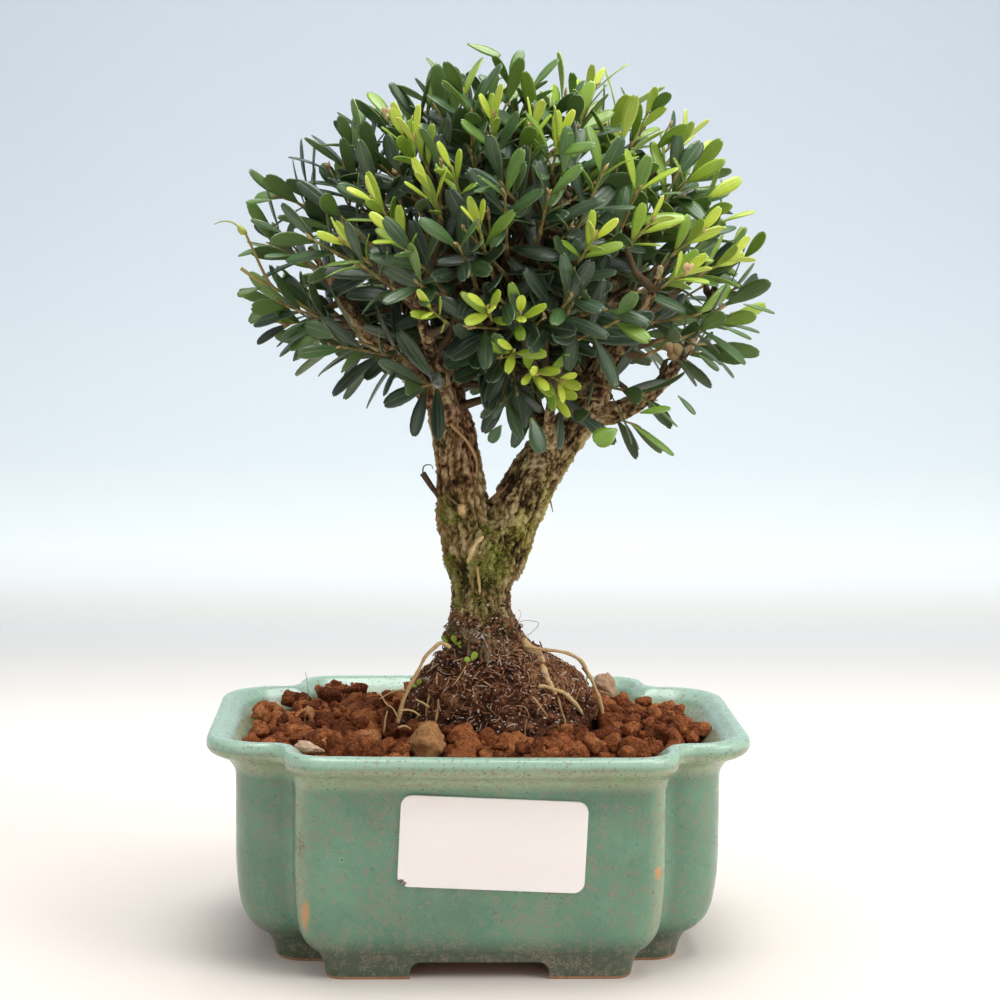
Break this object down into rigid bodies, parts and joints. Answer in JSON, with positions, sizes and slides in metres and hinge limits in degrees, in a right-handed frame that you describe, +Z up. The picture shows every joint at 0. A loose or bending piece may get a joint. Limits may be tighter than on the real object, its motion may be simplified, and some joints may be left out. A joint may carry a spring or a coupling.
{
  "type": "harland boxwood bonsai in a pot",
  "caption": "Small boxwood bonsai with a forked trunk, exposed roots and a round leafy crown, planted in baked clay crumbs in a glazed mokko pot on corner feet.",
  "frame": {"origin": "centre of the whole part's footprint, on the surface that the pot's feet stand on", "axes": "+Z up along the trunk; the pot's long side runs along X, with its front and the label towards -Y"},
  "size_m": [0.1538, 0.1212, 0.2502],
  "materials": {
    "celadon_glaze": "semi-gloss jade green glaze with fine grey-brown mottling, paler along the rim, bare tan clay under the feet",
    "net_plastic": "dark green moulded net",
    "label_paper": "plain white coated paper label, blank",
    "baked_clay": "rough red-brown baked clay crumbs",
    "tan_stone": "rough tan crumb",
    "pink_stone": "pale pinkish pebble",
    "pale_stone": "pale tan pebble",
    "compost": "dark fibrous compost with pale grit",
    "bark": "rough corky grey-brown bark with green moss",
    "old_leaf": "glossy dark green leaves with paler midribs",
    "young_leaf": "soft yellow-green young leaves"
  },
  "bodies": {
    "root": {"pot": "celadon_glaze", "drain_screen_left": "net_plastic", "drain_screen_right": "net_plastic", "label": "label_paper", "soil": "baked_clay", "stone_tan": "tan_stone", "stone_pink": "pink_stone", "stone_pale": "pale_stone", "root_ball": "compost", "trunk": "bark", "leafy_shoot_01": "old_leaf", "leafy_shoot_02": "old_leaf", "leafy_shoot_03": "old_leaf", "leafy_shoot_04": "old_leaf", "leafy_shoot_05": "old_leaf", "leafy_shoot_06": "old_leaf", "leafy_shoot_07": "old_leaf", "leafy_shoot_08": "old_leaf", "leafy_shoot_09": "old_leaf", "leafy_shoot_10": "old_leaf", "leafy_shoot_11": "old_leaf", "leafy_shoot_12": "old_leaf", "leafy_shoot_13": "old_leaf", "leafy_shoot_14": "old_leaf", "leafy_shoot_15": "old_leaf", "leafy_shoot_16": "old_leaf", "leafy_shoot_17": "old_leaf", "leafy_shoot_18": "old_leaf", "leafy_shoot_19": "old_leaf", "leafy_shoot_20": "old_leaf", "leafy_shoot_21": "old_leaf", "leafy_shoot_22": "old_leaf", "leafy_shoot_23": "old_leaf", "leafy_shoot_24": "old_leaf", "leafy_shoot_25": "old_leaf", "leafy_shoot_26": "old_leaf", "leafy_shoot_27": "old_leaf", "leafy_shoot_28": "old_leaf", "leafy_shoot_29": "old_leaf", "leafy_shoot_30": "old_leaf", "leafy_shoot_31": "old_leaf", "leafy_shoot_32": "old_leaf", "leafy_shoot_33": "old_leaf", "young_shoot_01": "young_leaf", "young_shoot_02": "young_leaf", "young_shoot_03": "young_leaf", "young_shoot_04": "young_leaf", "young_shoot_05": "young_leaf", "young_shoot_06": "young_leaf", "young_shoot_07": "young_leaf", "young_shoot_08": "young_leaf", "young_shoot_09": "young_leaf", "young_shoot_10": "young_leaf", "young_shoot_11": "young_leaf", "young_shoot_12": "young_leaf", "young_shoot_13": "young_leaf", "young_shoot_14": "young_leaf", "young_shoot_15": "young_leaf", "young_shoot_16": "young_leaf"}
  },
  "joints": []
}
